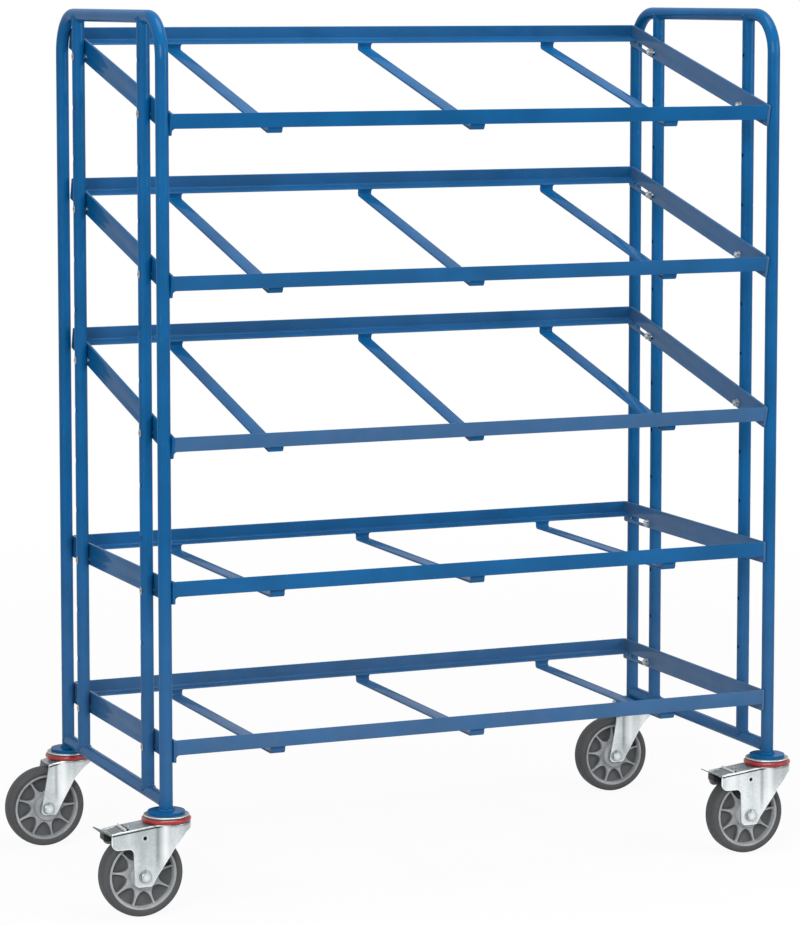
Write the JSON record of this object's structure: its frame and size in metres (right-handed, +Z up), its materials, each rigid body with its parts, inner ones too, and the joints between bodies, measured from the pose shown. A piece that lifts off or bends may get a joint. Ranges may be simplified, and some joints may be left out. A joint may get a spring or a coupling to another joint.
{
  "type": "euro box trolley",
  "caption": "Tall shelf trolley for euro boxes: two welded tube end frames, open angle-rail shelves bolted level or tilted, swivel casters with brakes at the front.",
  "frame": {"origin": "on the floor under the middle of the whole trolley's box", "axes": "+X along the trolley to the right as seen from its front, +Y to the back, +Z up"},
  "size_m": [1.4634, 0.6972, 1.69],
  "materials": {
    "blue_paint": "glossy powder coat",
    "zinc": "zinc plated",
    "red_seal": "satin",
    "grey_rim": "satin",
    "grey_tyre": "soft rubber",
    "black_plastic": "matte"
  },
  "bodies": {
    "frame": {"left_hoop": "blue_paint", "right_hoop": "blue_paint", "left_front_upright": "blue_paint", "left_rear_upright": "blue_paint", "right_front_upright": "blue_paint", "right_rear_upright": "blue_paint", "base_tubes": "blue_paint", "weld_discs": "blue_paint", "shelf_1_front_rail": "blue_paint", "shelf_1_rear_rail": "blue_paint", "shelf_1_side_plates": "blue_paint", "shelf_1_cross_straps": "blue_paint", "shelf_2_front_rail": "blue_paint", "shelf_2_rear_rail": "blue_paint", "shelf_2_side_plates": "blue_paint", "shelf_2_cross_straps": "blue_paint", "shelf_3_front_rail": "blue_paint", "shelf_3_rear_rail": "blue_paint", "shelf_3_side_plates": "blue_paint", "shelf_3_cross_straps": "blue_paint", "shelf_4_front_rail": "blue_paint", "shelf_4_rear_rail": "blue_paint", "shelf_4_side_plates": "blue_paint", "shelf_4_cross_straps": "blue_paint", "shelf_5_front_rail": "blue_paint", "shelf_5_rear_rail": "blue_paint", "shelf_5_side_plates": "blue_paint", "shelf_5_cross_straps": "blue_paint", "shelf_bolts": "zinc", "shelf_washers": "zinc", "shelf_nuts": "zinc", "caster_top_plates": "zinc", "caster_seals": "red_seal", "swivel_ball_rings": "zinc", "king_bolts": "zinc"},
    "front_left_fork": {"front_left_fork": "zinc", "front_left_axle": "zinc"},
    "front_left_wheel": {"front_left_rim": "grey_rim", "front_left_tyre": "grey_tyre", "front_left_bearings": "zinc"},
    "front_left_brake": {"front_left_brake_pedal": "zinc", "front_left_brake_block": "black_plastic"},
    "front_right_fork": {"front_right_fork": "zinc", "front_right_axle": "zinc"},
    "front_right_wheel": {"front_right_rim": "grey_rim", "front_right_tyre": "grey_tyre", "front_right_bearings": "zinc"},
    "front_right_brake": {"front_right_brake_pedal": "zinc", "front_right_brake_block": "black_plastic"},
    "rear_left_fork": {"rear_left_fork": "zinc", "rear_left_axle": "zinc"},
    "rear_left_wheel": {"rear_left_rim": "grey_rim", "rear_left_tyre": "grey_tyre", "rear_left_bearings": "zinc"},
    "rear_right_fork": {"rear_right_fork": "zinc", "rear_right_axle": "zinc"},
    "rear_right_wheel": {"rear_right_rim": "grey_rim", "rear_right_tyre": "grey_tyre", "rear_right_bearings": "zinc"}
  },
  "joints": [
    {"name": "front_left_swivel", "type": "hinge", "parent": "frame", "child": "front_left_fork", "pos_m": [-0.59299, -0.302, 0.18], "axis": [0, 0, 1], "continuous": true},
    {"name": "front_left_roll", "type": "hinge", "parent": "front_left_fork", "child": "front_left_wheel", "pos_m": [-0.64499, -0.302, 0.08], "axis": [0, 1, 0], "continuous": true},
    {"name": "front_left_brake_press", "type": "hinge", "parent": "front_left_fork", "child": "front_left_brake", "pos_m": [-0.64499, -0.302, 0.153], "axis": [0, -1, 0], "range_deg": [0, 7.5]},
    {"name": "front_right_swivel", "type": "hinge", "parent": "frame", "child": "front_right_fork", "pos_m": [0.68501, -0.302, 0.18], "axis": [0, 0, 1], "continuous": true},
    {"name": "front_right_roll", "type": "hinge", "parent": "front_right_fork", "child": "front_right_wheel", "pos_m": [0.63301, -0.302, 0.08], "axis": [0, 1, 0], "continuous": true},
    {"name": "front_right_brake_press", "type": "hinge", "parent": "front_right_fork", "child": "front_right_brake", "pos_m": [0.63301, -0.302, 0.153], "axis": [0, -1, 0], "range_deg": [0, 7.5]},
    {"name": "rear_left_swivel", "type": "hinge", "parent": "frame", "child": "rear_left_fork", "pos_m": [-0.59299, 0.302, 0.18], "axis": [0, 0, 1], "continuous": true},
    {"name": "rear_left_roll", "type": "hinge", "parent": "rear_left_fork", "child": "rear_left_wheel", "pos_m": [-0.64499, 0.302, 0.08], "axis": [0, 1, 0], "continuous": true},
    {"name": "rear_right_swivel", "type": "hinge", "parent": "frame", "child": "rear_right_fork", "pos_m": [0.68501, 0.302, 0.18], "axis": [0, 0, 1], "continuous": true},
    {"name": "rear_right_roll", "type": "hinge", "parent": "rear_right_fork", "child": "rear_right_wheel", "pos_m": [0.63301, 0.302, 0.08], "axis": [0, 1, 0], "continuous": true}
  ]
}
